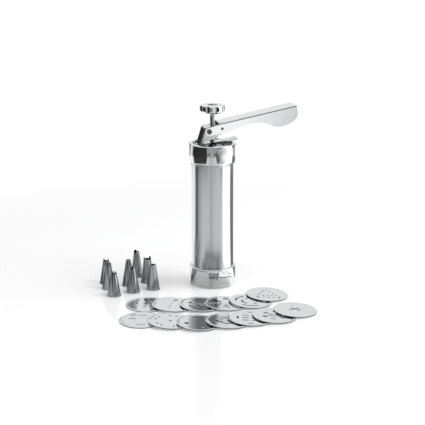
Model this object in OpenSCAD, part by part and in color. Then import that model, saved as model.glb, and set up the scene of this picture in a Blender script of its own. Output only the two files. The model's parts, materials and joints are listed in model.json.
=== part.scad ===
// Hand press for churros and piped biscuits: a barrel between two screw-on chrome
// collars, a toothed rod with a knob, a lever that drives the rod down, and the
// loose shaping discs and piping tips that lie beside it.
// +Z is up, +X is the way the lever points. The origin is the centre of the foot.

/* [Barrel] */
// Outer diameter of the barrel
barrel_od = 50; // [44:0.5:60]
// Wall of the barrel
barrel_wall = 1.6; // [1.4:0.1:2.2]
// Length of the barrel
barrel_len = 159.4; // [120:0.2:210]
// Radius of the rolled bead below the top collar
bead_r = 0.65; // [0.4:0.05:1]
// Distance from the bead's middle to the top collar
bead_gap = 1.1; // [0.8:0.1:3]

/* [Screw threads] */
// Pitch of the threads at both ends
thread_pitch = 3; // [2:0.5:4]
// Depth of the thread grooves
thread_depth = 0.55; // [0.3:0.05:0.7]
// Grooves at each end
thread_count = 4; // [2:1:4]
// Clearance between the barrel and the collars, in radius
thread_clear = 0.15; // [0.08:0.01:0.3]

/* [Collars] */
// Wall of the collars at their widest
collar_wall = 2.85; // [2.4:0.05:4]
// Bulge of the collars between their ends
collar_bulge = 0.8; // [0.4:0.05:1]
// Height of the bottom collar
foot_h = 23; // [20:0.5:34]
// Height of the top collar below the upper face of its web
skirt_h = 18.4; // [16:0.2:26]
// Height of the rim above the web
rim_h = 4.5; // [3:0.25:6]
// Width of the rim
rim_w = 4.5; // [3:0.1:6]
// Thickness of the web
web_t = 1.6; // [1.2:0.1:3]
// Thickness of the lip under the nozzle holder
lip_t = 2.4; // [1.6:0.1:4]
// Width of the lip
lip_w = 4.4; // [3:0.1:6]
// Radius of the round lower edge
low_round = 2.6; // [1.5:0.1:2.8]
// Radius of the round on the rim
rim_round = 1.2; // [0.8:0.1:2]
// Flat facets milled around each collar
facets = 6; // [5:1:8]
// Half of the angle that one facet takes
facet_half = 19; // [12:0.5:21]
// Height left below a facet
facet_low = 2.7; // [2.6:0.1:5]
// Height left above a facet
facet_high = 1.5; // [1.3:0.1:4]
// Corner radius of a facet
facet_corner = 2.6; // [1:0.1:4]
// Turn of the top collar's facets
top_facet_turn = 44; // [0:1:60]
// Turn of the bottom collar's facets
foot_facet_turn = 49; // [0:1:60]

/* [Seal and nozzle holder] */
// Thickness of the seal ring under the web
seal_t = 1.6; // [1:0.1:3]
// Thickness of the nozzle holder
holder_t = 2; // [1.5:0.1:3]
// Radius of the hole that a piping tip seats in
holder_bore_r = 7.6; // [6:0.1:9]
// Height of the holder's ring above its plate
holder_ring_h = 3; // [2:0.1:5]

/* [Rod and knob] */
// Radius of the toothed rod
rod_r = 3; // [2.5:0.1:3.4]
// Distance between teeth
tooth_pitch = 3; // [2:0.25:4]
// Depth of the teeth
tooth_depth = 1.1; // [0.6:0.05:1.3]
// Plain length of the rod below its first tooth
rod_plain = 28.5; // [20:0.5:50]
// Radius of the knob
knob_r = 14.7; // [12:0.1:20]
// Height of the knob
knob_h = 9.2; // [8:0.1:14]
// Height of the bare rod between the bracket and the knob's neck
rod_show = 12.3; // [8:0.1:30]
// Height of the neck under the knob
neck_h = 3; // [2:0.1:6]
// Flutes around the knob
flutes = 10; // [6:1:16]
// Depth of the flutes
flute_depth = 1.1; // [0.5:0.1:1.5]

/* [Piston] */
// Height of the piston's lower face at rest
piston_z = 20.5; // [18:0.5:60]
// Thickness of the piston's plate
piston_t = 3; // [2:0.1:5]
// Height of the piston's skirt
skirt_piston_h = 9; // [6:0.5:14]
// Gap between the piston and the barrel
piston_gap = 0.25; // [0.15:0.05:0.5]

/* [Bracket] */
// Thickness of the bracket's sheet
sheet_t = 1.2; // [1:0.1:1.6]
// Width of the bracket
bracket_w = 17.4; // [16:0.1:22]
// Height of the bracket above the web
bracket_h = 24.7; // [22:0.1:34]
// Lean of the back of the bracket
bracket_lean = 16.4; // [10:0.1:20]
// Distance from the rod to the back of the bracket, at the web
bracket_back = 19.1; // [17:0.1:21]

/* [Lever] */
// Length from the pivot to the tip
lever_len = 108.3; // [90:0.1:150]
// Rise of the lever at rest
lever_rise = 10.7; // [8:0.1:12]
// Outer bend radius of the lever's sheet
lever_bend = 2.5; // [2:0.1:3]
// Gap between the lever and the bracket on each side
lever_gap = 0.35; // [0.3:0.05:0.8]
// Height of the lever's back above the line of its two pins
lever_back_h = 7.6; // [6.5:0.1:9]
// Depth of the grip below that line
grip_drop = 13.8; // [9:0.1:20]
// Distance from the pivot to the drive pin
pin_reach = 15.75; // [15:0.05:18]
// Pivot's distance behind the rod
pivot_back = 6.3; // [6:0.1:7]
// Pivot's depth below the top of the bracket
pivot_drop = 5.3; // [5:0.1:7]
// Radius of the pivot pin
pivot_r = 1.9; // [1.5:0.1:2.2]
// Radius of the drive pin
drive_r = 1.6; // [1.2:0.1:1.8]

/* [Holding plate] */
// Thickness of the holding plate
plate_t = 1.5; // [1:0.1:2]
// Slope of the holding plate
plate_slope = 5.5; // [4:0.1:7]
// Half of its width
plate_half_w = 6.5; // [5:0.1:8]
// Reach of its thumb tab beyond the rod
plate_reach = 29; // [28:0.5:36]

/* [Loose discs] */
// Clearance of the shaping discs in the foot collar, in radius
disc_clear = 0.55; // [0.2:0.05:1]
// Thickness of the shaping discs
disc_t = 0.8; // [0.7:0.1:1.2]
// Width of the raised bead around a disc's rim
rim_bead_w = 3; // [2:0.1:4]
// Height of that bead above the disc
rim_bead_h = 0.5; // [0.3:0.05:0.8]

/* [Loose piping tips] */
// Width of a tip's base that rests around the holder's hole
tip_ledge = 0.7; // [0.4:0.1:1.2]
// Wall of a tip
tip_wall = 0.7; // [0.5:0.05:1]

/* [Hidden] */
$fn = 96;

eps = 0.01;
run_fit = 0.05;    // radial clearance of a shaft that turns or slides
barrel_r = barrel_od / 2;
bore_r = barrel_r - barrel_wall;
collar_bore_r = barrel_r + thread_clear;
collar_r = collar_bore_r + collar_wall;
facet_r = collar_r * cos(facet_half);

// Heights, from the table up
holder_z = lip_t;
barrel_z = holder_z + holder_t;
barrel_top = barrel_z + barrel_len;
web_z = barrel_top + seal_t;
web_top = web_z + web_t;
cap_z = web_top - skirt_h;
cap_h = skirt_h + rim_h;
bracket_top = web_top + bracket_h;
knob_z = bracket_top + rod_show + neck_h;
knob_top = knob_z + knob_h;

// Pivot, drive pin and lever
pivot = [-pivot_back, bracket_top - pivot_drop];
drive_pin_at = pivot + pin_reach * [cos(lever_rise), sin(lever_rise)];
flange_in = bracket_w / 2 + lever_gap;
flange_out = flange_in + sheet_t;
bracket_edge = rod_r + 2.4;       // right edge of the bracket's top plate
pawl_half = 4;
pawl_hub_r = 3.3;
pawl_drop = 8.3;                  // from the drive pin to the pawl's lower edge
nose_gap = 0.45;                  // from the rod to the pawl's nose, released
plate_hinge = [-bracket_back + 1.8, web_top + 2.7];

// Rod
spigot_r = 1.7;                   // the screw that holds the piston
rod_foot = piston_z + piston_t + run_fit;
rod_top = knob_z - neck_h;        // the shoulder that the knob sits on
stud_r = rod_r - 0.5;             // the rod's threaded end, inside the knob
nut_z = knob_top - 5.2;
nut_h = 2.8;

// Loose pieces: where each disc's middle lies, in disc diameters, and where each piping tip stands
disc_r = collar_bore_r - disc_clear;
disc_d = 2 * disc_r;
front_row = disc_d * [[-2.175, -2.215], [-1.585, -2.5], [-0.996, -2.744], [-0.346, -2.785],
                      [0.183, -2.744], [0.752, -2.724], [1.321, -2.48]];
rear_row = disc_d * [[-1.85, -1.25], [-1.301, -1.463], [-0.671, -1.606], [-0.102, -1.687],
                     [0.488, -1.667], [1.006, -1.301]];
disc_step = min([for (row = [front_row, rear_row], i = [1:len(row) - 1]) norm(row[i] - row[i - 1])]);
disc_lean = asin((disc_t + rim_bead_h + 0.1) / disc_step);    // so that a disc clears its neighbour's bead
bead_round = (pow(rim_bead_w / 2, 2) + pow(rim_bead_h, 2)) / (2 * rim_bead_h);
pattern_turn = -14;
tip_base_r = holder_bore_r + tip_ledge;
tip_places = [[-124.5, 28], [-125, 7], [-123, -19.5], [-100, 13], [-84.5, 44], [-76, 19], [-99.5, -12.5],
              [-74.5, -7.5]];
tip_heights = [34, 31.5, 28.5, 31.5, 33, 31.5, 30.5, 30];

chrome = [0.86, 0.87, 0.88];
steel = [0.74, 0.75, 0.76];
dark_steel = [0.45, 0.46, 0.48];
rubber = [0.2, 0.2, 0.21];

// ---------- helpers ----------

// Points along an arc, from angle a0 to a1
function arc(c, rx, rz, a0, a1, n) =
    [for (i = [0:n]) let (a = a0 + (a1 - a0) * i / n) [c[0] + rx * cos(a), c[1] + rz * sin(a)]];

// Points along a cubic curve, without its first point
function curve(p, n) = [for (i = [1:n]) let (t = i / n, s = 1 - t)
    s * s * s * p[0] + 3 * s * s * t * p[1] + 3 * s * t * t * p[2] + t * t * t * p[3]];

function unit(v) = v / norm(v);

// Round wire of radius r swept along points, with rings square to the path
module wire(points, r, up, sides = 8) {
    last = len(points) - 1;
    rings = [for (i = [0:last])
        let (t = unit(points[min(i + 1, last)] - points[max(i - 1, 0)]),
             u = unit(cross(t, up)), v = cross(u, t))
        for (k = [0:sides - 1]) points[i] + r * (cos(360 * k / sides) * u + sin(360 * k / sides) * v)];
    faces = concat(
        [[for (k = [0:sides - 1]) k]],
        [for (i = [0:last - 1], k = [0:sides - 1])
            let (a = i * sides + k, b = i * sides + (k + 1) % sides)
            [a, a + sides, b + sides, b]],
        [[for (k = [sides - 1:-1:0]) last * sides + k]]);
    polyhedron(rings, faces, convexity = 8);
}

// Flat shape in the XZ plane, made w wide and centred on Y
module across(w) {
    translate([0, w / 2, 0]) rotate([90, 0, 0]) linear_extrude(w) children();
}

// Cylinder along Y through the point [x, z], from y0 to y1
module y_pin(at, r, y0, y1) {
    translate([at[0], y1, at[1]]) rotate([90, 0, 0]) cylinder(h = y1 - y0, r = r);
}

// Long round-ended slot
module slot(len, w) {
    square([len - w, w], center = true);
    for (s = [-1, 1]) translate([s * (len - w) / 2, 0]) circle(w / 2, $fn = 32);
}

// Slot along an arc of radius r, of width w, a degrees long, centred on +X
module arc_slot(r, w, a) {
    n = ceil(a / 6);
    polygon(concat(
        arc([0, 0], r + w / 2, r + w / 2, -a / 2, a / 2, n),
        arc(r * [cos(a / 2), sin(a / 2)], w / 2, w / 2, a / 2 + 30, a / 2 + 150, 4),
        arc([0, 0], r - w / 2, r - w / 2, a / 2, -a / 2, n),
        arc(r * [cos(a / 2), -sin(a / 2)], w / 2, w / 2, 210 - a / 2, 330 - a / 2, 4)));
}

// Straight-sided star
module star(points, r_out, r_in) {
    polygon([for (i = [0:2 * points - 1])
        let (r = i % 2 == 0 ? r_out : r_in, a = 180 * i / points) [r * cos(a), r * sin(a)]]);
}

// ---------- collars and barrel ----------

// Outer form of a collar: a bulging side with a round lower edge and a smaller round on its rim
module collar_body(h) {
    mid = h / 2;
    ring = (pow(mid, 2) + pow(collar_bulge, 2)) / (2 * collar_bulge);
    axis_x = collar_r - ring;
    corner = function (r) axis_x + sqrt(pow(ring - r, 2) - pow(mid - r, 2));
    meet = function (r) ring * (mid - r) / (ring - r);
    rotate_extrude() {
        intersection() {
            translate([axis_x, mid]) circle(ring);
            translate([0, mid - meet(low_round)]) square([collar_r + 1, meet(low_round) + meet(rim_round)]);
        }
        square([corner(low_round), mid]);
        translate([0, mid]) square([corner(rim_round), mid]);
        translate([corner(low_round), low_round]) circle(low_round);
        translate([corner(rim_round), h - rim_round]) circle(rim_round);
    }
}

// One facet's cutter: a flat floor with round corners, cut in from outside, its sides just past the metal
module facet_cut(z0, z1) {
    half = collar_r * sin(facet_half) + 0.2;
    c = facet_corner;
    reach = 6;
    translate([facet_r, 0, 0]) {
        translate([0, -half + c, z0]) cube([reach, 2 * (half - c), z1 - z0]);
        translate([0, -half, z0 + c]) cube([reach, 2 * half, z1 - z0 - 2 * c]);
        for (y = [-half + c, half - c], z = [z0 + c, z1 - c])
            translate([0, y, z]) rotate([0, 90, 0]) cylinder(h = reach, r = c, $fn = 48);
    }
}

module facet_cuts(h, turn) {
    for (i = [0:facets - 1])
        rotate(turn + 360 * i / facets) facet_cut(facet_low, h - facet_high);
}

module bottom_collar() {
    color(chrome) difference() {
        collar_body(foot_h);
        facet_cuts(foot_h, foot_facet_turn);
        translate([0, 0, -eps]) cylinder(h = lip_t + 1, r = barrel_r - lip_w);
        translate([0, 0, holder_z]) cylinder(h = foot_h, r = collar_bore_r);
    }
}

module top_collar() {
    color(chrome) difference() {
        translate([0, 0, cap_z]) difference() {
            collar_body(cap_h);
            facet_cuts(cap_h, top_facet_turn);
        }
        translate([0, 0, cap_z - eps]) cylinder(h = web_z - cap_z + eps, r = collar_bore_r);
        translate([0, 0, web_top]) cylinder(h = rim_h + eps, r = collar_r - rim_w);
        translate([0, 0, web_z - eps]) cylinder(h = web_t + 2 * eps, r = rod_r + run_fit);
        rivet_holes();
    }
}

module thread_groove(z) {
    translate([0, 0, z]) rotate_extrude()
        polygon([[barrel_r - thread_depth, 0], [barrel_r + eps, -thread_depth], [barrel_r + eps, thread_depth]]);
}

module barrel() {
    color(steel) difference() {
        union() {
            translate([0, 0, barrel_z]) cylinder(h = barrel_len, r = barrel_r);
            translate([0, 0, cap_z - bead_gap]) rotate_extrude()
                translate([barrel_r - eps, 0]) circle(bead_r, $fn = 32);
        }
        translate([0, 0, barrel_z - eps]) cylinder(h = barrel_len + 2 * eps, r = bore_r);
        for (i = [0:thread_count - 1]) {
            thread_groove(barrel_z + thread_pitch * (i + 1));
            thread_groove(barrel_top - thread_pitch * (i + 0.7));
        }
    }
}

module cap_seal() {
    color(rubber) translate([0, 0, barrel_top]) difference() {
        cylinder(h = seal_t, r = barrel_r - 0.1);
        translate([0, 0, -eps]) cylinder(h = seal_t + 2 * eps, r = bore_r + 0.1);
    }
}

module nozzle_holder() {
    ring_r = holder_bore_r + 1.6;
    color(steel) translate([0, 0, holder_z]) difference() {
        union() {
            cylinder(h = holder_t, r = barrel_r - 0.1);
            cylinder(h = holder_t + holder_ring_h, r = ring_r);
        }
        translate([0, 0, -eps]) cylinder(h = holder_t + holder_ring_h + 2 * eps, r = holder_bore_r);
    }
}

// ---------- bracket and what it carries ----------

rivet_at = [[-11.2, -5.2], [-11.2, 5.2], [13.5, -5.2], [13.5, 5.2]];
rivet_r = 1.4;
rivet_head_r = 2.4;
rivet_head_h = 1.1;

module rivet_holes() {
    for (p = rivet_at)
        translate([p[0], p[1], web_z - eps]) cylinder(h = web_t + sheet_t + 2 * eps, r = rivet_r, $fn = 32);
}

module bracket_rivets() {
    color(steel) for (p = rivet_at) translate([p[0], p[1], 0]) {
        translate([0, 0, web_z - rivet_head_h]) cylinder(h = rivet_head_h, r = rivet_head_r, $fn = 32);
        translate([0, 0, web_z - eps]) cylinder(h = web_t + sheet_t + 2 * eps, r = rivet_r, $fn = 32);
        translate([0, 0, web_top + sheet_t]) cylinder(h = rivet_head_h, r1 = rivet_head_r, r2 = 1.5, $fn = 32);
    }
}

// Section of the bracket: a channel with its back to -X and round outer corners
module bracket_section() {
    r = 3;
    w = bracket_w;
    reach = 40;
    difference() {
        union() {
            translate([r, -w / 2]) square([reach - r, w]);
            translate([0, -w / 2 + r]) square([reach, w - 2 * r]);
            for (y = [-w / 2 + r, w / 2 - r]) translate([r, y]) circle(r, $fn = 48);
        }
        translate([sheet_t, -w / 2 + sheet_t]) square([reach, w - 2 * sheet_t]);
    }
}

// Side view of the bracket
module bracket_side() {
    lean = tan(bracket_lean);
    back_x = function (z) -bracket_back + lean * (z - web_top);
    bend_r = 4;
    bend_at = [back_x(bracket_top) + 0.5, bracket_top - bend_r];
    cheek_low = web_top + 7.4;
    polygon(concat(
        [[back_x(web_top), web_top]],
        arc([bend_at[0] + bend_r - 0.9, bend_at[1]], bend_r, bend_r, 180 - bracket_lean, 90, 6),
        [[bracket_edge, bracket_top],
         [bracket_edge, bracket_top - 7],
         [rod_r + 0.6, cheek_low + 3.8],
         [back_x(cheek_low) + 4.4, cheek_low],
         [back_x(web_top) + 3.2, web_top + sheet_t],
         [back_x(web_top) + 3.2, web_top]]));
}

module bracket() {
    slot_w = 8.8;
    foot_end = 17;
    color(steel) difference() {
        union() {
            intersection() {
                across(bracket_w) bracket_side();
                union() {
                    translate([-bracket_back, 0, web_top]) rotate([0, bracket_lean, 0])
                        translate([0, 0, -8]) linear_extrude(60) bracket_section();
                    translate([-bracket_back, -bracket_w / 2, bracket_top - sheet_t])
                        cube([2 * bracket_back, bracket_w, sheet_t]);
                }
            }
            translate([-bracket_back + 0.6, -bracket_w / 2, web_top])
                cube([bracket_back + foot_end - 0.6, bracket_w, sheet_t]);
        }
        translate([0, 0, web_top - eps]) cylinder(h = bracket_h + 1, r = rod_r + run_fit);
        y_pin(pivot, pivot_r, -bracket_w, bracket_w);
        rivet_holes();
        translate([-bracket_back - 2, -slot_w / 2, plate_hinge[1] - 0.9])
            cube([6, slot_w, plate_t + 1.5]);
    }
}

module pivot_pin() {
    head_r = 3.1;
    head_h = 0.9;
    eye_r = 1.3;
    end = flange_out + 0.1;
    color(chrome) difference() {
        union() {
            y_pin(pivot, pivot_r, -end, end);
            for (s = [-1, 1]) translate([pivot[0], s * (end + head_h / 2), pivot[1]])
                rotate([90, 0, 0]) cylinder(h = head_h, r = head_r, center = true, $fn = 48);
        }
        y_pin(pivot, eye_r, -end - head_h - eps, -end + 2);
        y_pin(pivot, eye_r, end - 2, end + head_h + eps);
    }
}

module holding_plate() {
    slope = tan(plate_slope);
    x0 = -bracket_back - 0.6;
    tongue_x = -bracket_back + 4.2;
    bend_x = plate_reach - 7.5;
    tab_rise = 2;
    under = function (x) plate_hinge[1] + slope * (x - plate_hinge[0]);
    tip_z = under(bend_x) + tab_rise;
    color(steel) difference() {
        union() {
            across(8) polygon([[x0, under(x0)], [tongue_x + 1, under(tongue_x + 1)],
                               [tongue_x + 1, under(tongue_x + 1) + plate_t], [x0, under(x0) + plate_t]]);
            across(2 * plate_half_w) polygon([
                [tongue_x, under(tongue_x)], [bend_x, under(bend_x)], [plate_reach, tip_z],
                [plate_reach - 0.6, tip_z + plate_t], [bend_x, under(bend_x) + plate_t],
                [tongue_x, under(tongue_x) + plate_t]]);
        }
        translate([0, 0, web_top]) cylinder(h = 10, r = rod_r + 0.35);
    }
}

// Short coil between the bracket's foot and the holding plate
module plate_spring() {
    turns = 2;
    steps = 14 * turns;
    wire_r = 0.4;
    coil_r = rod_r + 1.6;
    low = web_top + sheet_t + wire_r;
    rise = 1.75;
    color(dark_steel) wire([for (i = [0:steps]) let (a = 360 * turns * i / steps)
        [coil_r * cos(a), coil_r * sin(a), low + rise * i / steps]], wire_r, [0, 0, 1], 6);
}

// ---------- lever ----------

// Lever in its own frame: X along its back, origin at the pivot
module lever_outline() {
    back = lever_back_h;
    tip = lever_len;
    hub = 4.6;
    corner = 2;
    plate_start = 13.1;
    low = [[0, -hub], [12, -5.6], [24, -5.3], [0.4 * tip, -2.1], [0.53 * tip, -2.2],
           [0.59 * tip, -3.7], [0.79 * tip, -grip_drop], [0.9 * tip, -grip_drop + 1.1], [tip, -3]];
    polygon(concat(
        arc([0, 0], hub, hub, 110, 270, 12),
        [low[1]],
        curve([low[1], low[1] + [6, 0], low[2] + [2, 0.3], low[3]], 6),
        curve([low[3], low[3] + [5, 0.3], low[4] + [-2, 0.2], low[5]], 5),
        curve([low[5], low[5] + [7, -2.4], low[6] + [-9, 0], low[6]], 8),
        curve([low[6], low[6] + [5, 0], low[7] + [-3, -1], low[7]], 4),
        curve([low[7], low[7] + [6, 2.6], low[8] + [-0.4, -4], low[8]], 6),
        arc([tip - corner, back - corner], corner, corner, 0, 90, 6),
        [[plate_start, back], [plate_start - 0.6, back - lever_bend]]));
}

// Section of the lever: a channel open below, with bent upper corners
module lever_section() {
    back = lever_back_h;
    deep = 24;
    ri = lever_bend - sheet_t;
    difference() {
        union() {
            translate([-flange_out, back - deep]) square([2 * flange_out, deep - lever_bend]);
            translate([-flange_out + lever_bend, back - deep]) square([2 * (flange_out - lever_bend), deep]);
            for (s = [-1, 1]) translate([s * (flange_out - lever_bend), back - lever_bend])
                circle(lever_bend, $fn = 48);
        }
        union() {
            translate([-flange_in, back - deep - 1]) square([2 * flange_in, deep - lever_bend + 1]);
            translate([-flange_in + ri, back - deep - 1]) square([2 * (flange_in - ri), deep - sheet_t + 1]);
            for (s = [-1, 1]) translate([s * (flange_in - ri), back - lever_bend])
                circle(ri, $fn = 48);
        }
    }
}

module lever() {
    color(chrome) translate([pivot[0], 0, pivot[1]]) rotate([0, -lever_rise, 0]) difference() {
        intersection() {
            across(3 * flange_out) lever_outline();
            translate([-10, 0, 0]) rotate([90, 0, 90]) linear_extrude(lever_len + 20) lever_section();
        }
        y_pin([0, 0], pivot_r + run_fit, -2 * flange_out, 2 * flange_out);
        y_pin([pin_reach, 0], drive_r, -2 * flange_out, 2 * flange_out);
    }
}

module drive_pin() {
    end = flange_out + 0.35;
    eye_r = 1;
    color(steel) difference() {
        y_pin(drive_pin_at, drive_r, -end, end);
        y_pin(drive_pin_at, eye_r, -end - eps, -end + 1.5);
        y_pin(drive_pin_at, eye_r, end - 1.5, end + eps);
    }
}

module drive_pawl() {
    nose_x = rod_r + nose_gap - drive_pin_at[0];
    low = -pawl_drop;
    color(dark_steel) translate([drive_pin_at[0], 0, drive_pin_at[1]]) {
        difference() {
            across(2 * pawl_half) {
                circle(pawl_hub_r, $fn = 48);
                polygon([[-2.9, -1.6], [nose_x + 0.7, low + 2.4], [nose_x, low + 1.4], [nose_x, low + 0.5],
                         [nose_x + 2.6, low], [0.4, low + 0.3], [3.2, -0.9], [0, 1]]);
            }
            y_pin([0, 0], drive_r + run_fit, -2 * pawl_half, 2 * pawl_half);
        }
        y_pin([0.8, -5], 0.7, pawl_half - eps, pawl_half + 1.4);
    }
}

// Torsion spring about Y: leg, coil and leg, wound from y0 at pitch p
function torsion(c, r, a0, a1, y0, p, in_len, out_len) =
    let (n = round((a1 - a0) / 24),
         coil = [for (i = [0:n]) let (a = a0 + (a1 - a0) * i / n)
             [c[0] + r * cos(a), y0 + p * (a - a0) / 360, c[1] + r * sin(a)]],
         first = coil[0] - in_len * [-sin(a0), 0, cos(a0)],
         end = coil[n] + out_len * [-sin(a1), 0, cos(a1)])
    concat([first], coil, [end]);

module lever_springs() {
    wire_r = 0.45;
    coil_r = pivot_r + wire_r + 0.15;
    start = 300;
    lean = tan(bracket_lean);
    to_back = (pivot[0] + coil_r * cos(start) + bracket_back - (sheet_t + wire_r + 0.1) / cos(bracket_lean)
               - lean * (pivot[1] + coil_r * sin(start) - web_top)) / (-sin(start) - lean * cos(start));
    to_pin = pin_reach + 0.85;
    path = torsion(pivot, coil_r, start, 1362, 4.2, 0.9, to_back, to_pin);
    color(dark_steel) {
        wire(path, wire_r, [0, 1, 0]);
        wire([for (q = path) [q[0], -q[1], q[2]]], wire_r, [0, 1, 0]);
    }
}

module pawl_spring() {
    wire_r = 0.35;
    coil_r = drive_r + wire_r + 0.2;
    color(dark_steel)
        wire(torsion(drive_pin_at, coil_r, 0, 690, pawl_half + 0.5, 0.85, 6.3, 9.7), wire_r, [0, 1, 0]);
}

// ---------- rod, piston and knob ----------

// Side view of the rod's toothed face: ledges that face up, with slopes between them
module rod_side() {
    first = rod_foot + rod_plain;
    count = floor((rod_top - first) / tooth_pitch);
    last = first + count * tooth_pitch;
    root = rod_r - tooth_depth;
    polygon(concat(
        [[-rod_r - 1, rod_foot], [rod_r + 1, rod_foot], [rod_r + 1, first]],
        [for (i = [0:count - 1]) let (z = first + i * tooth_pitch)
            each [[rod_r, z], [root, z]]],
        [[rod_r, last], [rod_r + 1, last], [rod_r + 1, rod_top], [-rod_r - 1, rod_top]]));
}

module rod() {
    color(steel) difference() {
        union() {
            intersection() {
                across(3 * rod_r) rod_side();
                translate([0, 0, rod_foot]) cylinder(h = rod_top - rod_foot, r = rod_r, $fn = 64);
            }
            translate([0, 0, rod_top - 1]) cylinder(h = nut_z + nut_h + 0.8 - rod_top + 1, r = stud_r, $fn = 48);
        }
        translate([0, 0, rod_foot - eps]) cylinder(h = 9, r = spigot_r, $fn = 48);
    }
}

module piston() {
    r = bore_r - piston_gap;
    wall = 1.8;
    hub_r = 6;
    hub_h = 11.5;
    color(steel) translate([0, 0, piston_z]) difference() {
        rotate_extrude()
            polygon(concat([[0, 0], [r - 1.2, 0]], arc([r - 1.2, 1.2], 1.2, 1.2, -90, 0, 4),
                [[r, skirt_piston_h], [r - wall, skirt_piston_h], [r - wall, piston_t],
                 [hub_r, piston_t], [hub_r, hub_h], [0, hub_h]]));
        translate([0, 0, -eps]) cylinder(h = piston_t + 1, r = spigot_r + run_fit, $fn = 48);
        translate([0, 0, piston_t]) cylinder(h = hub_h, r = rod_r + run_fit);
    }
}

module piston_screw() {
    head_r = 4.5;
    head_h = 2;
    head_z = piston_z - 0.1 - head_h;
    color(steel) difference() {
        union() {
            translate([0, 0, head_z]) cylinder(h = head_h, r = head_r, $fn = 48);
            translate([0, 0, head_z]) cylinder(h = rod_foot + 8 - head_z, r = spigot_r, $fn = 48);
        }
        translate([-head_r, -0.5, head_z - eps]) cube([2 * head_r, 1, 0.8]);
    }
}

module knob() {
    flute_r = 3.4;
    recess_r = 5.3;
    color(chrome) difference() {
        translate([0, 0, knob_z]) rotate_extrude()
            polygon(concat(
                [[0, -neck_h], [rod_r + 0.5, -neck_h], [5, -0.4], [5.4, 0], [knob_r - 3, 0],
                 [knob_r - 0.5, 2.1], [knob_r, 2.9]],
                arc([knob_r - 1.6, knob_h - 1.6], 1.6, 1.4, 0, 80, 5),
                [[recess_r + 3, knob_h], [0, knob_h]]));
        for (i = [0:flutes - 1]) rotate(360 * (i + 0.5) / flutes)
            translate([knob_r + flute_r - flute_depth, 0, knob_z - 1])
                cylinder(h = knob_h + 2, r = flute_r, $fn = 48);
        translate([0, 0, nut_z]) cylinder(h = knob_h, r = recess_r, $fn = 64);
        translate([0, 0, rod_top - eps]) cylinder(h = knob_h + neck_h, r = stud_r + run_fit, $fn = 48);
    }
}

module knob_nut() {
    color(steel) translate([0, 0, nut_z]) difference() {
        cylinder(h = nut_h, r = 4.6, $fn = 6);
        translate([0, 0, -eps]) cylinder(h = nut_h + 2 * eps, r = stud_r + run_fit, $fn = 48);
    }
}

// ---------- loose discs ----------

// A disc with the holes given as its children, lying flat or leaning
module shaping_disc(at, tilt) {
    color(steel) translate([at[0], at[1], disc_r * sin(tilt)]) rotate([0, tilt, 0]) difference() {
        rotate_extrude() {
            square([disc_r, disc_t]);
            intersection() {
                translate([disc_r - rim_bead_w / 2, disc_t + rim_bead_h - bead_round]) circle(bead_round);
                translate([disc_r - rim_bead_w, disc_t / 2]) square([rim_bead_w, disc_t / 2 + rim_bead_h]);
            }
        }
        translate([0, 0, -eps]) linear_extrude(disc_t + 2 * eps) rotate(pattern_turn) children();
    }
}

module dot(x, y, r = 1.2) {
    translate([x, y]) circle(r, $fn = 32);
}

module disc_groups() {
    shaping_disc(front_row[0], 0) {
        for (s = [-1, 1], x = [-3, 0, 3]) dot(s * 10.3 + x, -s * 3.5);
        for (s = [-1, 1], k = [-1, 0, 1]) rotate(90 * s) translate([14.5 - abs(k), 3.4 * k]) slot(2.8, 2.2);
    }
}

module disc_pairs() {
    shaping_disc(front_row[1], disc_lean) {
        dot(0, 0, 1.7);
        for (i = [0:4], d = [-12, 12]) rotate(9 + 72 * i + d) dot(16.8, 0, 1.35);
    }
}

module disc_four_holes() {
    shaping_disc(front_row[2], disc_lean)
        for (i = [0:3]) rotate(18 + 90 * i) dot(14, 0, 2.5);
}

module disc_leaf() {
    shaping_disc(front_row[3], disc_lean) {
        rotate(-20) {
            for (s = [-1, 1]) translate([0, s * -8]) rotate(90 * s) arc_slot(17.5, 2.6, 76);
            for (x = [-8.5, 0, 8.5]) translate([x, 0]) slot(6.4, 1.6);
            for (s = [-1, 1], x = [-5.5, 2.5]) translate([x, s * 4.3]) rotate(s * 48) slot(4.6, 1.4);
        }
    }
}

module disc_comb() {
    shaping_disc(front_row[4], disc_lean) {
        for (y = [-8, 0, 8], s = [-1, 1]) translate([s * 5, y]) slot(7.6, 1.9);
        for (s = [-1, 1]) translate([s * 13.8, 0]) rotate(90) slot(7, 2.2);
        for (s = [-1, 1]) translate([0, s * 18]) slot(5.6, 1.9);
    }
}

module disc_snowflake() {
    shaping_disc(front_row[5], disc_lean)
        for (i = [0:5]) rotate(-38 + 60 * i) {
            translate([8.2, 0]) slot(13.5, 1.5);
            for (s = [-1, 1]) translate([11.2, s * 1.7]) rotate(s * 50) slot(4.6, 1.3);
        }
}

module disc_star() {
    shaping_disc(front_row[6], disc_lean) star(6, 8.4, 3.4);
}

module disc_rows() {
    shaping_disc(rear_row[0], 0)
        for (x = [-12, -4, 4, 12], y = [-9, 0, 9])
            if (abs(x) < 12 || y == 0) translate([x, y]) rotate(90) slot(6.4, 2.2);
}

module disc_ribbon() {
    shaping_disc(rear_row[1], disc_lean) rotate(80) slot(35, 3.9);
}

module disc_curls() {
    shaping_disc(rear_row[2], disc_lean) {
        for (i = [0:2]) rotate(165 + 120 * i) dot(13, 0, 2.2);
        for (i = [0:2]) rotate(105 + 120 * i) {
            arc_slot(14.5, 2, 46);
            translate([-1.5, 0]) arc_slot(8, 1.8, 70);
        }
    }
}

// One petal: two round ends of different size with straight sides between them
module petal(r0, r1, d0, d1) {
    a = acos((r1 - r0) / (d1 - d0));
    polygon(concat(arc([d1, 0], r1, r1, a - 180, 180 - a, 18), arc([d0, 0], r0, r0, 180 - a, 180 + a, 8)));
}

module disc_petals() {
    shaping_disc(rear_row[3], disc_lean)
        for (i = [0:5]) rotate(30 + 60 * i) petal(1, 3.4, 6, 15);
}

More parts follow.
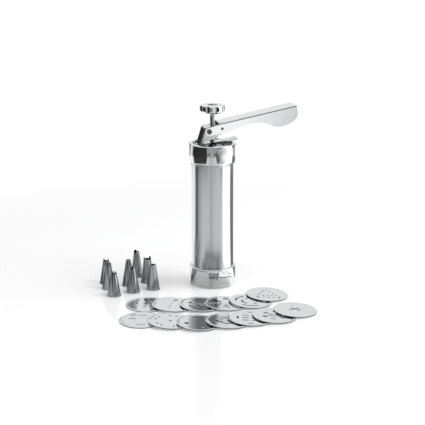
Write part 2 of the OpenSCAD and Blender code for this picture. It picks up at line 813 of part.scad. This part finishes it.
module disc_arcs() {
    shaping_disc(rear_row[4], disc_lean) {
        for (i = [0:2]) rotate(150 + 120 * i) arc_slot(16.5, 2, 62);
        for (i = [0:2]) rotate(210 + 120 * i) arc_slot(9.5, 2, 66);
    }
}

module disc_triangle() {
    shaping_disc(rear_row[5], disc_lean) rotate(4) {
        corners = [[-1, 17], [15, -13], [-14, -12]];
        for (k = [0:2], i = [0:4]) {
            p = corners[k] + (corners[(k + 1) % 3] - corners[k]) * (i + 0.5) / 5;
            dot(p[0], p[1], 1.15);
        }
        for (x = [-5, 0, 5]) dot(x, -6, 1.15);
    }
}

// ---------- loose piping tips ----------

// Hollow cone with a rolled base; tip_r is the outer radius of its mouth
module cone_tip(i, tip_r) {
    h = tip_heights[i];
    roll = 0.9;
    r0 = tip_base_r - 0.5;
    rotate_extrude()
        polygon([[r0 - tip_wall, 0], [tip_base_r - 0.2, 0], [tip_base_r, 0.3], [tip_base_r, roll - 0.3],
                 [tip_base_r - 0.2, roll], [r0, roll], [tip_r, h], [tip_r - tip_wall, h]]);
}

module place_tip(i) {
    color(steel) translate([tip_places[i][0], tip_places[i][1], 0]) rotate(pattern_turn + 23 * i) children();
}

// Cone with a crown of V notches cut down from its mouth
module star_tip(i, tip_r, notches, depth) {
    h = tip_heights[i];
    half = PI * tip_r / notches * 0.62;
    place_tip(i) difference() {
        cone_tip(i, tip_r);
        for (k = [0:notches - 1]) rotate(360 * k / notches)
            translate([tip_r + 1, 0, h]) rotate([90, 0, -90])
                linear_extrude(tip_r + 1) polygon([[-half, eps], [0, -depth], [half, eps]]);
    }
}

module tip_leaf() {
    h = tip_heights[0];
    place_tip(0) difference() {
        cone_tip(0, 2.9);
        across(20) polygon([[-7, h + 1], [-1.2, h - 6.5], [0, h - 7], [1.2, h - 6.5], [7, h + 1]]);
    }
}

module tip_star_a() {
    star_tip(1, 3.2, 6, 4.2);
}

module tip_star_b() {
    star_tip(2, 3.1, 8, 3);
}

module tip_round() {
    place_tip(3) cone_tip(3, 3);
}

module tip_notched() {
    h = tip_heights[4];
    place_tip(4) difference() {
        cone_tip(4, 3.2);
        rotate(55) across(20) polygon([[-2.4, h + eps], [0, h - 4.6], [2.4, h + eps]]);
    }
}

module tip_ribbon() {
    h = tip_heights[5];
    tip_r = 4.4;
    lip = 2.2;
    place_tip(5) difference() {
        cone_tip(5, tip_r);
        for (s = [-1, 1]) translate([s * (lip + 5), 0, h]) cube([10, 20, 5], center = true);
    }
}

module tip_star_c() {
    star_tip(6, 2.8, 5, 3.8);
}

module tip_plain() {
    place_tip(7) cone_tip(7, 3.9);
}

bottom_collar();
nozzle_holder();
barrel();
cap_seal();
top_collar();
bracket();
bracket_rivets();
holding_plate();
plate_spring();
pivot_pin();
lever();
drive_pin();
drive_pawl();
lever_springs();
pawl_spring();
rod();
piston();
piston_screw();
knob();
knob_nut();
disc_groups();
disc_pairs();
disc_four_holes();
disc_leaf();
disc_comb();
disc_snowflake();
disc_star();
disc_rows();
disc_ribbon();
disc_curls();
disc_petals();
disc_arcs();
disc_triangle();
tip_leaf();
tip_star_a();
tip_star_b();
tip_round();
tip_notched();
tip_ribbon();
tip_star_c();
tip_plain();
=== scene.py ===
import json
import math
import bmesh
import bpy
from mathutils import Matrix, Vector


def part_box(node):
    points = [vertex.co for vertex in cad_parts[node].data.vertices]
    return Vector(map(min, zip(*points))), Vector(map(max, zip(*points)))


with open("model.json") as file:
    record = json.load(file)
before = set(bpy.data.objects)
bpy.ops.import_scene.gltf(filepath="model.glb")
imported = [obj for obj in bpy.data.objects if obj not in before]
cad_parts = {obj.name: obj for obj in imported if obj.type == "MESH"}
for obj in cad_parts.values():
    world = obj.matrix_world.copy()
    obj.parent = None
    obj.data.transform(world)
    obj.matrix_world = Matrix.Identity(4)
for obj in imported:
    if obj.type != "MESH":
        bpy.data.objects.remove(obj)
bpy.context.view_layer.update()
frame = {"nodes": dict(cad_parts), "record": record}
nodes = frame["nodes"]
print("press loaded:", len(nodes), "nodes")


camera = {
    "place": (-0.3145, -1.2614, 0.44),
    "aim": (0, 0, 0.0868),
    "lens": 96.1,
}


def placeCamera():
    data = bpy.data.cameras.new("photoCamera")
    data.lens = camera["lens"]
    cam = bpy.data.objects.new("photoCamera", data)
    cam.location = camera["place"]
    sight = Vector(camera["aim"]) - Vector(camera["place"])
    cam.rotation_mode = "QUATERNION"
    cam.rotation_quaternion = sight.to_track_quat("-Z", "Y")
    bpy.context.scene.collection.objects.link(cam)
    bpy.context.scene.camera = cam
    bpy.context.scene.view_settings.view_transform = "Standard"


# a socket that can be used in Python expressions
class Wire:
    def __init__(self, maker, socket):
        self.maker, self.socket = maker, socket

    def calc(self, operation, *values):
        return self.maker.node("Math", {"operation": operation}, values)

    def size(self):
        return self.calc("ABSOLUTE", self)

    def __add__(self, other):
        return self.calc("ADD", self, other)

    def __radd__(self, other):
        return self.calc("ADD", other, self)

    def __sub__(self, other):
        return self.calc("SUBTRACT", self, other)

    def __rsub__(self, other):
        return self.calc("SUBTRACT", other, self)

    def __mul__(self, other):
        return self.calc("MULTIPLY", self, other)

    def __rmul__(self, other):
        return self.calc("MULTIPLY", other, self)

    def __truediv__(self, other):
        return self.calc("DIVIDE", self, other)

    def __rtruediv__(self, other):
        return self.calc("DIVIDE", other, self)

    def __pow__(self, other):
        return self.calc("POWER", self, other)

    def __rpow__(self, other):
        return self.calc("POWER", other, self)


# the node tree of a material or of the world
class Finish:
    def __init__(self, owner):
        owner.use_nodes = True
        self.owner, self.tree = owner, owner.node_tree
        self.tree.nodes.clear()

    def node(self, kind, settings=None, values=(), out=0):
        made = self.tree.nodes.new("ShaderNode" + kind)
        for key, value in (settings or {}).items():
            if key == "stops":
                ramp = made.color_ramp.elements
                while len(ramp) < len(value):
                    ramp.new(1)
                for stop, (at, shade) in zip(ramp, value):
                    stop.position, stop.color = at, (shade, shade, shade, 1)
            else:
                setattr(made, key, value)
        named = values.items() if isinstance(values, dict) else enumerate(values)
        for key, value in named:
            if isinstance(value, Wire):
                self.tree.links.new(value.socket, made.inputs[key])
            else:
                made.inputs[key].default_value = value
        return Wire(self, made.outputs[out]) if made.outputs else None

    def split(self, vector):
        parts = self.node("SeparateXYZ", values=(vector,)).socket.node.outputs
        return [Wire(self, socket) for socket in parts]

    def coordinates(self, kind):
        return self.node("TexCoord", out=kind)

    def ray(self, kind):
        return self.node("LightPath", out="Is %s Ray" % kind)

    def noise(self, place, scale, detail, rough=0.5):
        return self.node("TexNoise", values={
            "Vector": place, "Scale": scale, "Detail": detail, "Roughness": rough})

    def stretch(self, place, size):
        return self.node("Mapping", values={"Vector": place, "Scale": size})

    def spread(self, value, low, high):
        return self.node("MapRange", values={"Value": value, "To Min": low, "To Max": high})

    def fade(self, value, start, end):
        return self.node("MapRange", {"interpolation_type": "SMOOTHSTEP"},
                         {"Value": value, "From Min": start, "From Max": end})

    # a Mix node's sockets go by number, because its kinds share their names
    def mix(self, factor, low, high):
        return self.node("Mix", {"data_type": "FLOAT"}, {0: factor, 2: low, 3: high})

    def paint(self, where, under, colour):
        return self.node("Mix", {"data_type": "RGBA"}, {0: where, 6: under, 7: (*colour, 1)}, 2)

    # brightness by the angle that x and y make with the front of the studio
    def around(self, x, y, stops):
        turn = math.radians(studio["facing"])
        side = x * math.cos(turn) - y * math.sin(turn)           # towards the right of the picture
        front = x * -math.sin(turn) - y * math.cos(turn)         # towards the camera
        angle = side.calc("ARCTAN2", side, front) / (2 * math.pi) + 0.5
        stops = [(degrees / 360 + 0.5, shade) for degrees, shade in stops]
        return self.node("ValToRGB", {"stops": stops}, (angle,))


# Polished metal is a picture of the room, so the room is drawn for reflections alone. Each list
# holds angles from the front, with the left as minus, and how bright metal sees the room there
studio = {
    "facing": 14,               # the front, in degrees from -Y towards -X
    "roomLight": 0.62,          # all round, on what isn't a mirror
    "walls": [
        (-180, 0.82), (-171, 0.82), (-165, 0.03), (-134, 0.03), (-126, 0.9), (-118, 0.9),
        (-104, 0.05), (-80, 0.02), (-28, 0.02), (-24, 0.34), (23, 0.34), (27, 0.02), (46, 0.02),
        (54, 0.02), (57, 2.4), (106, 2.4), (112, 0.1), (144, 0.1), (160, 0.82), (180, 0.82)],
    "upperWalls": [
        (-180, 0.84), (-150, 0.84), (-110, 0.5), (-60, 0.2), (40, 0.2), (60, 0.92), (108, 0.92),
        (140, 0.84), (180, 0.84)],
    "ceiling": 0.86,
    "upperStart": (0.12, 0.26),    # heights of the direction, from 0 level to 1 straight up
    "ceilingStart": (0.5, 0.75),
    "lampAim": (0, 0, 0.05),
}
lamps = {
    "softbox": {"place": (0.9, -0.35, 1.25), "size": 0.9, "power": 13},
    "fill": {"place": (-1.0, -0.7, 0.9), "size": 0.8, "power": 3},
}


def lightRoom():
    world = bpy.data.worlds.new("studioRoom")
    bpy.context.scene.world = world
    room = Finish(world)
    x, y, z = room.split(room.coordinates("Generated"))          # in a world, the direction
    walls = room.around(x, y, studio["walls"])
    upperWalls = room.around(x, y, studio["upperWalls"])
    seen = room.mix(room.fade(z, *studio["upperStart"]), walls, upperWalls)
    seen = room.mix(room.fade(z, *studio["ceilingStart"]), seen, studio["ceiling"])
    strength = room.mix(room.ray("Glossy"), studio["roomLight"], seen)
    strength = room.mix(room.ray("Camera"), strength, 1.0)
    glow = room.node("Background", values={"Color": (1, 1, 1, 1), "Strength": strength})
    room.node("OutputWorld", values={"Surface": glow})
    for name, lamp in lamps.items():
        data = bpy.data.lights.new(name, "AREA")
        data.size, data.energy = lamp["size"], lamp["power"]
        lit = bpy.data.objects.new(name, data)
        lit.location = lamp["place"]
        sight = Vector(studio["lampAim"]) - Vector(lamp["place"])
        lit.rotation_mode = "QUATERNION"
        lit.rotation_quaternion = sight.to_track_quat("-Z", "Y")
        lit.visible_glossy = False
        bpy.context.scene.collection.objects.link(lit)


table = {
    "size": 24,
    "drop": 0.0002,             # how far it lies under the foot
    "colour": (0.86, 0.86, 0.87),
    "gloss": 0.09,
    "lift": 0.13,               # light that it adds for the eye only
    "clearFrom": (0.32, 0.6),   # it fades to plain white between these distances
    # what metal sees of it, in rings, each with the distances over which it takes over
    "near": [
        (-180, 1), (-112, 1), (-104, 0.5), (-100, 0.14), (-86, 0.14), (-78, 0.4), (-50, 0.62),
        (-20, 0.62), (-12, 0.5), (-2, 0.5), (6, 0.62), (44, 0.66), (54, 0.85), (58, 1.4),
        (104, 1.4), (112, 0.2), (146, 0.2), (154, 1), (180, 1)],
    "footShade": 0.7,           # painted shade: how much of that is left close to the foot
    "footShadeEnd": (0.05, 0.12),
    "ring": [
        (-180, 1), (-168, 0.9), (-160, 0.06), (-138, 0.06), (-130, 0.8), (-114, 0.8),
        (-106, 0.02), (-66, 0.015), (-63.4, 0.02), (-62.9, 0.07), (-62.4, 0.02), (-30, 0.02),
        (-22, 0.36), (42, 0.38), (46, 0.02), (55.8, 0.01), (56.2, 1.4), (108, 1.4), (116, 0.4),
        (144, 0.4), (152, 1), (180, 1)],
    "ringStart": (0.66, 0.7),
    "far": [
        (-180, 0.8), (-168, 0.8), (-160, 0.04), (-138, 0.04), (-130, 0.8), (-114, 0.8),
        (-106, 0.02), (-28, 0.02), (-22, 0.2), (-6, 0.2), (-4, 0.6), (0, 0.6), (2, 0.2),
        (12, 0.2), (16, 0.02), (18, 0.02), (22, 1), (31, 1), (38, 0.62), (42, 0.3), (46, 0.02),
        (62, 0.02), (68, 1.4), (108, 1.4), (116, 0.4), (144, 0.4), (180, 0.8)],
    "farStart": (0.86, 0.92),
    "wallStart": (1.4, 1.7),    # from here on it looks as the walls do
}


def layTable():
    shape = bmesh.new()
    bmesh.ops.create_grid(shape, x_segments=1, y_segments=1, size=table["size"] / 2)
    bmesh.ops.translate(shape, verts=shape.verts, vec=(0, 0, -table["drop"]))
    mesh = bpy.data.meshes.new("table")
    shape.to_mesh(mesh)
    shape.free()
    slab = bpy.data.objects.new("table", mesh)
    bpy.context.scene.collection.objects.link(slab)
    top = Finish(bpy.data.materials.new("whiteTable"))
    x, y, z = top.split(top.coordinates("Object"))
    away = (x * x + y * y) ** 0.5
    eye = top.ray("Camera")
    body = top.node("BsdfPrincipled", values={
        "Base Color": (*table["colour"], 1), "Roughness": table["gloss"],
        "Emission Color": (1, 1, 1, 1), "Emission Strength": eye * table["lift"]})
    plain = top.node("Emission", values={"Strength": 1.0})
    clear = eye * top.fade(away, *table["clearFrom"])
    body = top.node("MixShader", values={0: clear, 1: body, 2: plain})
    # painted shade: the table that metal sees grows darker close to the foot
    footShade = top.mix(top.fade(away, *table["footShadeEnd"]), table["footShade"], 1.0)
    seen = top.around(x, y, table["near"]) * footShade
    for start, stops in ((table["ringStart"], table["ring"]), (table["farStart"], table["far"]),
                         (table["wallStart"], studio["walls"])):
        seen = top.mix(top.fade(away, *start), seen, top.around(x, y, stops))
    mirrored = top.node("Emission", values={"Strength": seen})
    body = top.node("MixShader", values={0: top.ray("Glossy"), 1: body, 2: mirrored})
    top.node("OutputMaterial", values={"Surface": body})
    mesh.materials.append(top.owner)


placeCamera()
lightRoom()
layTable()
print("studio ready")


# For each finish: rough is its lowest and highest roughness; cloud is the scale of the stains;
# grain is the scale and the stretch of the lines, and bump how deep they are; wave is the slow
# unevenness of the surface, in metres; brushed is how far highlights are drawn out
chromePlate = {
    "colour": (0.9, 0.905, 0.915), "rough": (0.02, 0.07), "cloud": 60, "wave": 0.00008,
    # painted shade and painted dark reflection in the cup within the top collar, in metres
    "recessShade": {"radius": 0.0236, "low": 0.166, "high": 0.1712, "colour": (0.1, 0.1, 0.105)},
}
brushedBarrel = {
    "colour": (0.8, 0.805, 0.815), "rough": (0.07, 0.17), "cloud": 30,
    "grain": (900, (1, 1, 0.01)), "brushed": 0.9,
}
platedSteel = {
    "colour": (0.72, 0.73, 0.75), "rough": (0.06, 0.16), "cloud": 120,
    "grain": (300, (1, 6, 6)), "bump": 0.05,
}
# plated steel with the painted shade of the top collar's cup
bracketSteelRecessShaded = {**platedSteel, "recessShade": chromePlate["recessShade"]}
pinSteel = {"colour": (0.2, 0.205, 0.215), "rough": (0.14, 0.26), "cloud": 300}
springSteel = {"colour": (0.3, 0.31, 0.33), "rough": (0.25, 0.4), "cloud": 200}
discSteel = {
    "colour": (0.82, 0.83, 0.84), "rough": (0.06, 0.13), "cloud": 50,
    "grain": (220, (1, 9, 1)), "bump": 0.03, "wave": 0.00004,
    "edge": (0.12, 0.12, 0.125),       # colour of the sheared outer rim and of the holes' walls: their own duller tone, darkened further by painted shade
}
tipSteel = {
    "colour": (0.5, 0.505, 0.52), "rough": (0.04, 0.1), "cloud": 90,
    "grain": (500, (1, 1, 0.1)), "bump": 0.04,
    "inside": (0.04, 0.04, 0.042),     # painted shade: colour of the walls that face the tip's own axis
}
turnedAluminium = {
    "colour": (0.74, 0.75, 0.76), "rough": (0.25, 0.4), "cloud": 80,
    "grain": (400, (1, 1, 6)), "bump": 0.08,
}
siliconeRing = {"colour": (0.72, 0.72, 0.7), "rough": (0.5, 0.65), "cloud": 100, "metal": 0.0}
surface = {
    "cloudDetail": 3,
    "grainDetail": 4,
    "grainRough": 0.65,
    "tint": (0.93, 1.05),       # the colour is multiplied by something between these
    "bumpDepth": 0.0002,        # metres, at a bump of 1
    "waveScale": 70,
    "waveDetail": 1,
    "brushTurn": 0.25,          # direction of the brushing, as a share of a full turn
    "recessBlur": 0.0004,
    "insideBlur": 0.0008,
    "upright": (0.6, 0.4),      # the normal's slope over which a wall counts as upright
}


# paints shade into the colour wherever the look asks for it
def shaded(made, place, colour, look, centre):
    # painted shade and painted dark reflection, set by position in the top collar's cup
    if "recessShade" in look:
        part, blur = look["recessShade"], surface["recessBlur"]
        x, y, z = made.split(place)
        within = made.fade((x * x + y * y) ** 0.5, part["radius"], part["radius"] - blur)
        within = within * made.fade(z, part["low"], part["low"] + blur)
        within = within * made.fade(z, part["high"], part["high"] - blur)
        colour = made.paint(within, colour, part["colour"])
    # painted shade on the walls that face the tip's axis
    if "inside" in look:
        x, y, z = made.split(place)
        across, along, up = made.split(made.coordinates("Normal"))
        outward = (x - centre[0]) * across + (y - centre[1]) * along
        colour = made.paint(made.fade(outward, 0, -surface["insideBlur"]), colour, look["inside"])
    # upright walls darkened: the sheared metal's own duller tone plus painted shade
    if "edge" in look:
        across, along, up = made.split(made.coordinates("Normal"))
        colour = made.paint(made.fade(up.size(), *surface["upright"]), colour, look["edge"])
    return colour


def relief(made, place, lines, look):
    values = {}
    if "wave" in look:
        slow = made.noise(place, surface["waveScale"], surface["waveDetail"])
        values["Normal"] = made.node("Bump", values={
            "Strength": 1.0, "Distance": look["wave"], "Height": slow})
    if "bump" in look:
        values["Normal"] = made.node("Bump", values={
            "Strength": look["bump"], "Distance": surface["bumpDepth"], "Height": lines, **values})
    return values


def metal(name, look, centre=(0, 0)):
    made = Finish(bpy.data.materials.new(name))
    place = made.coordinates("Object")
    cloud = made.noise(place, look["cloud"], surface["cloudDetail"])
    lines = cloud
    if "grain" in look:
        scale, size = look["grain"]
        lines = made.noise(made.stretch(place, size), scale, surface["grainDetail"],
                           surface["grainRough"])
    rough = made.spread(lines * 0.5 + cloud * 0.5, *look["rough"])
    tint = made.spread(lines * 0.6 + cloud * 0.4, *surface["tint"])
    colour = made.node("VectorMath", {"operation": "SCALE"},
                       {"Vector": look["colour"], "Scale": tint})
    body = made.node("BsdfPrincipled", values={
        "Base Color": shaded(made, place, colour, look, centre),
        "Metallic": look.get("metal", 1.0), "Roughness": rough,
        "Anisotropic": look.get("brushed", 0.0), "Anisotropic Rotation": surface["brushTurn"],
        **relief(made, place, lines, look)})
    made.node("OutputMaterial", values={"Surface": body})
    return made.owner


finishes = {
    "chrome": metal("chromePlate", chromePlate),
    "barrel_steel": metal("brushedBarrel", brushedBarrel),
    "plated_steel": metal("platedSteel", platedSteel),
    "bracket_steel_recess_shaded": metal("bracketSteelRecessShaded", bracketSteelRecessShaded),
    "pin_steel": metal("pinSteel", pinSteel),
    "spring_steel": metal("springSteel", springSteel),
    "disc_steel": metal("discSteel", discSteel),
    "piston_aluminium": metal("turnedAluminium", turnedAluminium),
    "seal_rubber": metal("siliconeRing", siliconeRing),
}
slots = {row["node"]: row["material_slot"] for row in frame["record"]["subparts"]}
# the bracket and its rivets take the plated steel with painted shade in the collar's cup
slots.update({"pivot_pin": "pin_steel", "drive_pin": "pin_steel",
              "bracket": "bracket_steel_recess_shaded", "bracket_rivets": "bracket_steel_recess_shaded"})
for name, piece in nodes.items():
    if slots[name] == "tip_steel":         # each tip gets painted shade about its own axis
        low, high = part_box(name)
        centre = [(low[i] + high[i]) / 2 for i in (0, 1)]
        finishes[name] = metal(name.replace("tip_", "tipSteel_"), tipSteel, centre)
    piece.data.materials.clear()
    piece.data.materials.append(finishes[name if name in finishes else slots[name]])
print("finishes given:", len(finishes))
